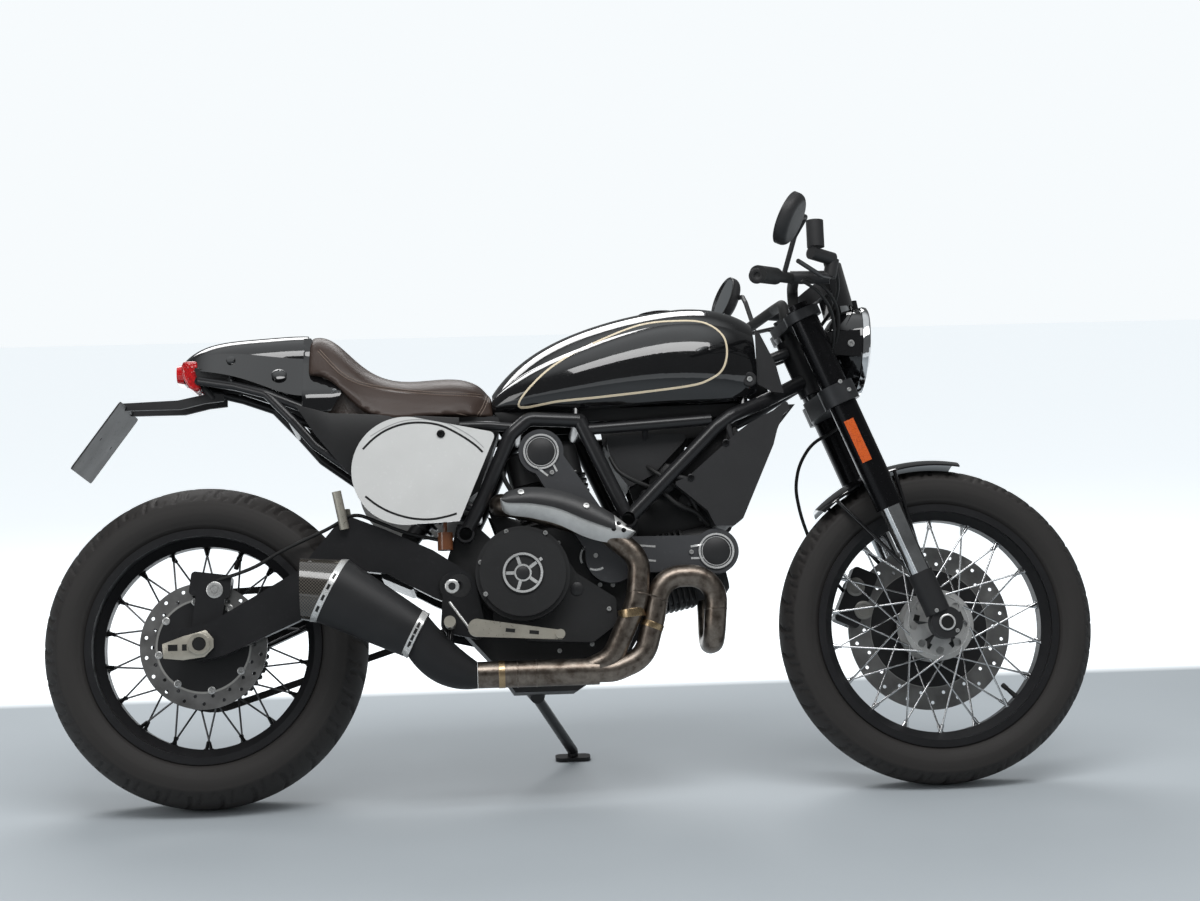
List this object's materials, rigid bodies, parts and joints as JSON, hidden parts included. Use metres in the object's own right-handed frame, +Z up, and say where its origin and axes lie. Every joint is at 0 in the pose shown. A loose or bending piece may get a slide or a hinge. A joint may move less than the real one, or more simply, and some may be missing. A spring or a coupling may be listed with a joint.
{
  "type": "cafe racer motorcycle",
  "caption": "Cafe racer motorcycle with a V-twin engine, humped single seat, wire wheels and low handlebars, leaning on its side stand.",
  "frame": {"origin": "centre of the box on the floor, under the machine", "axes": "+X to the front, +Y to its left, +Z up; it leans to its left on the side stand"},
  "size_m": [2.0739, 0.8216, 1.1737],
  "materials": {
    "frame_paint": "satin black enamel",
    "gloss_black": "gloss black enamel",
    "cap_metal": "black anodised",
    "satin_plastic": "moulded, fine grain",
    "brown_leather": "waxed, stitched",
    "red_lens": "clear red lens",
    "white_board": "gloss white with black arcs",
    "engine_paint": "matt black",
    "cover_grey": "satin dark grey",
    "dark_steel": "oiled",
    "header_steel": "heat-stained",
    "brushed_aluminium": "satin",
    "exhaust_black": "matt heat-proof black",
    "bright_steel": "turned",
    "caliper_black": "satin black",
    "amber_cup": "translucent amber",
    "fork_black": "gloss black",
    "chrome": "polished",
    "clamp_grey": "satin dark grey",
    "grip_rubber": "ribbed",
    "hose_rubber": "smooth",
    "lamp_glass": "clear, chrome rim",
    "tyre_rubber": "road tread",
    "rim_black": "satin black",
    "disc_steel": "ground, drilled"
  },
  "bodies": {
    "chassis": {"chain": "dark_steel", "frame": "frame_paint", "rear_subframe": "frame_paint", "fuel_tank": "gloss_black", "filler_cap": "cap_metal", "front_side_covers": "satin_plastic", "seat": "brown_leather", "tail_cowl": "gloss_black", "tail_light": "red_lens", "plate_bracket": "satin_plastic", "number_boards": "white_board", "seat_tray": "satin_plastic", "crankcase": "engine_paint", "front_cylinder": "engine_paint", "rear_cylinder": "engine_paint", "clutch_cover": "engine_paint", "belt_covers": "cover_grey", "airbox": "satin_plastic", "exhaust_pipes": "header_steel", "heat_shield": "brushed_aluminium", "collector_box": "exhaust_black", "silencer": "exhaust_black", "swingarm": "frame_paint", "rear_axle": "bright_steel", "rear_shock": "dark_steel", "rear_caliper": "caliper_black", "foot_hangers": "frame_paint", "foot_pegs": "brushed_aluminium", "brake_pedal": "brushed_aluminium", "brake_reservoir": "amber_cup", "oil_cooler": "engine_paint", "rear_brake_hose": "hose_rubber"},
    "steering": {"fork_outer_tubes": "fork_black", "fork_inner_tubes": "chrome", "fork_feet": "fork_black", "triple_clamps": "clamp_grey", "handlebars": "grip_rubber", "mirrors": "satin_plastic", "hand_controls": "satin_plastic", "headlight_shell": "gloss_black", "headlight_lens": "lamp_glass", "fly_screen": "gloss_black", "instrument": "satin_plastic", "front_fender": "gloss_black", "front_caliper": "caliper_black", "front_brake_hose": "hose_rubber"},
    "front_wheel": {"front_tyre": "tyre_rubber", "front_rim": "rim_black", "front_spokes": "chrome", "front_hub": "brushed_aluminium", "front_disc": "disc_steel"},
    "rear_wheel": {"rear_tyre": "tyre_rubber", "rear_rim": "rim_black", "rear_spokes": "dark_steel", "rear_hub": "engine_paint", "rear_disc": "disc_steel", "rear_sprocket": "dark_steel"},
    "side_stand": {"side_stand": "frame_paint"}
  },
  "joints": [
    {"name": "steering", "type": "hinge", "parent": "chassis", "child": "steering", "pos_m": [0.48277, -0.04982, 0.81733], "axis": [-0.3714, 0.2089, 0.9047], "range_deg": [-30, 30]},
    {"name": "front_wheel_spin", "type": "hinge", "parent": "steering", "child": "front_wheel", "pos_m": [0.723, -0.16743, 0.30793], "axis": [0, 0.9744, -0.225], "continuous": true},
    {"name": "rear_wheel_spin", "type": "hinge", "parent": "chassis", "child": "rear_wheel", "pos_m": [-0.722, -0.16694, 0.31003], "axis": [0, 0.9744, -0.225], "continuous": true},
    {"name": "side_stand_fold", "type": "hinge", "parent": "chassis", "child": "side_stand", "pos_m": [-0.082, -0.08098, 0.18448], "axis": [-0.2511, 0.9586, 0.1343], "range_deg": [0, 100]}
  ]
}
